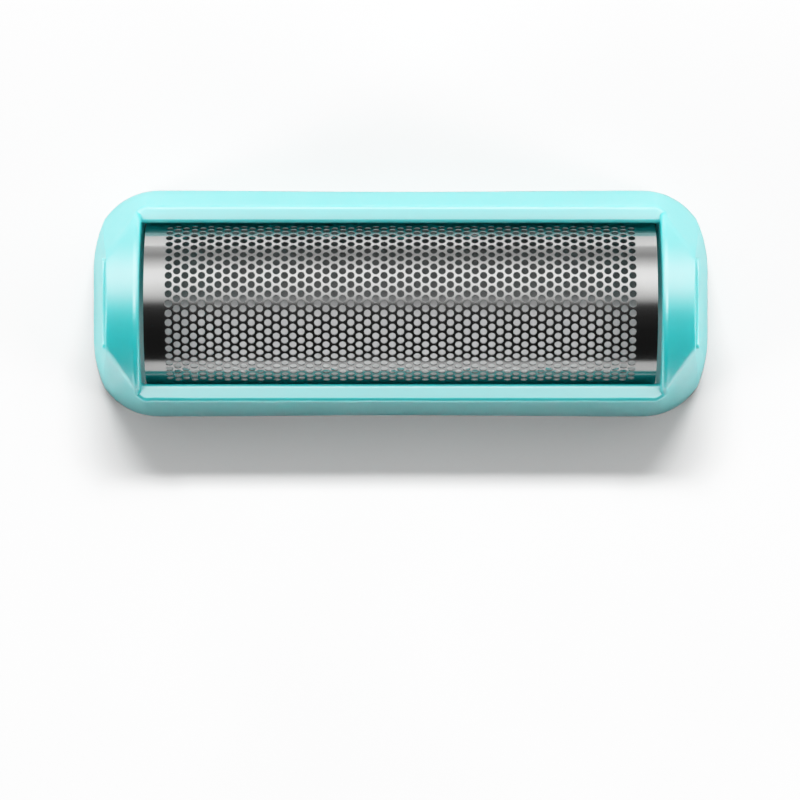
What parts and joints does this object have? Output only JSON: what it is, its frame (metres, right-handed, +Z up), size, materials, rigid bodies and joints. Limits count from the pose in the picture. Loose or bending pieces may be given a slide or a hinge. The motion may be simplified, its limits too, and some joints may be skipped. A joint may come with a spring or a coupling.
{
  "type": "shaver foil head",
  "caption": "Shaver foil head: arched perforated steel foil held in a glossy turquoise frame with bullet-nosed end caps, which clips to a shaver's body.",
  "frame": {"origin": "centre of the seat rim's plane, on the underside of the frame", "axes": "+X along the head, +Y across it, +Z up through the crown of the foil, away from the shaver's body"},
  "size_m": [0.055, 0.0202, 0.0112],
  "materials": {
    "frame_plastic": "smooth glossy moulding",
    "foil_steel": "bright polished sheet",
    "strip_plastic": "plain matt moulding"
  },
  "bodies": {
    "root": {"outer_frame": "frame_plastic", "shaving_foil": "foil_steel", "front_foil_strip": "strip_plastic", "rear_foil_strip": "strip_plastic"}
  },
  "joints": []
}
